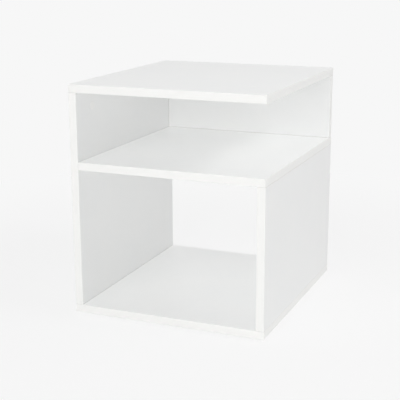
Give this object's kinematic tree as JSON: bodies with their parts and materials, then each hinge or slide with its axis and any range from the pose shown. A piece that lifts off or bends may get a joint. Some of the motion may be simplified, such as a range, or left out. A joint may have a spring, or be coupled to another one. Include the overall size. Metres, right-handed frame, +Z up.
{
  "type": "nightstand",
  "caption": "Open white bedside cabinet of flat boards, with a compartment open front and back below a shelf and a corner-open compartment above it.",
  "frame": {"origin": "on the floor, under the middle of the footprint", "axes": "+Z up, front faces -Y, +X to the right as seen from the front, on the side that is open above the shelf"},
  "size_m": [0.4, 0.44, 0.463],
  "materials": {
    "melamine_board": "white melamine-faced chipboard, satin",
    "edge_band": "white ABS edge band, satin",
    "zinc_casting": "die-cast zinc, dull",
    "plated_steel": "zinc-plated steel, bright",
    "cap_plastic": "white moulded polyethylene, satin",
    "beech": "bare fluted beech",
    "glide_plastic": "off-white moulded polyethylene, matt"
  },
  "bodies": {
    "root": {"bottom_board": "melamine_board", "left_panel": "melamine_board", "right_panel": "melamine_board", "shelf": "melamine_board", "back_panel": "melamine_board", "top_board": "melamine_board", "bottom_band_front": "edge_band", "bottom_band_back": "edge_band", "bottom_band_left": "edge_band", "bottom_band_right": "edge_band", "left_panel_band_front": "edge_band", "left_panel_band_back": "edge_band", "right_panel_band_front": "edge_band", "right_panel_band_back": "edge_band", "shelf_band_front": "edge_band", "shelf_band_back": "edge_band", "shelf_band_right": "edge_band", "back_panel_band_right": "edge_band", "top_band_front": "edge_band", "top_band_back": "edge_band", "top_band_left": "edge_band", "top_band_right": "edge_band", "cam_locks": "zinc_casting", "cam_bolts": "plated_steel", "cam_caps": "cap_plastic", "dowels": "beech", "panel_screws": "plated_steel", "glides": "glide_plastic", "glide_nails": "plated_steel"}
  },
  "joints": []
}
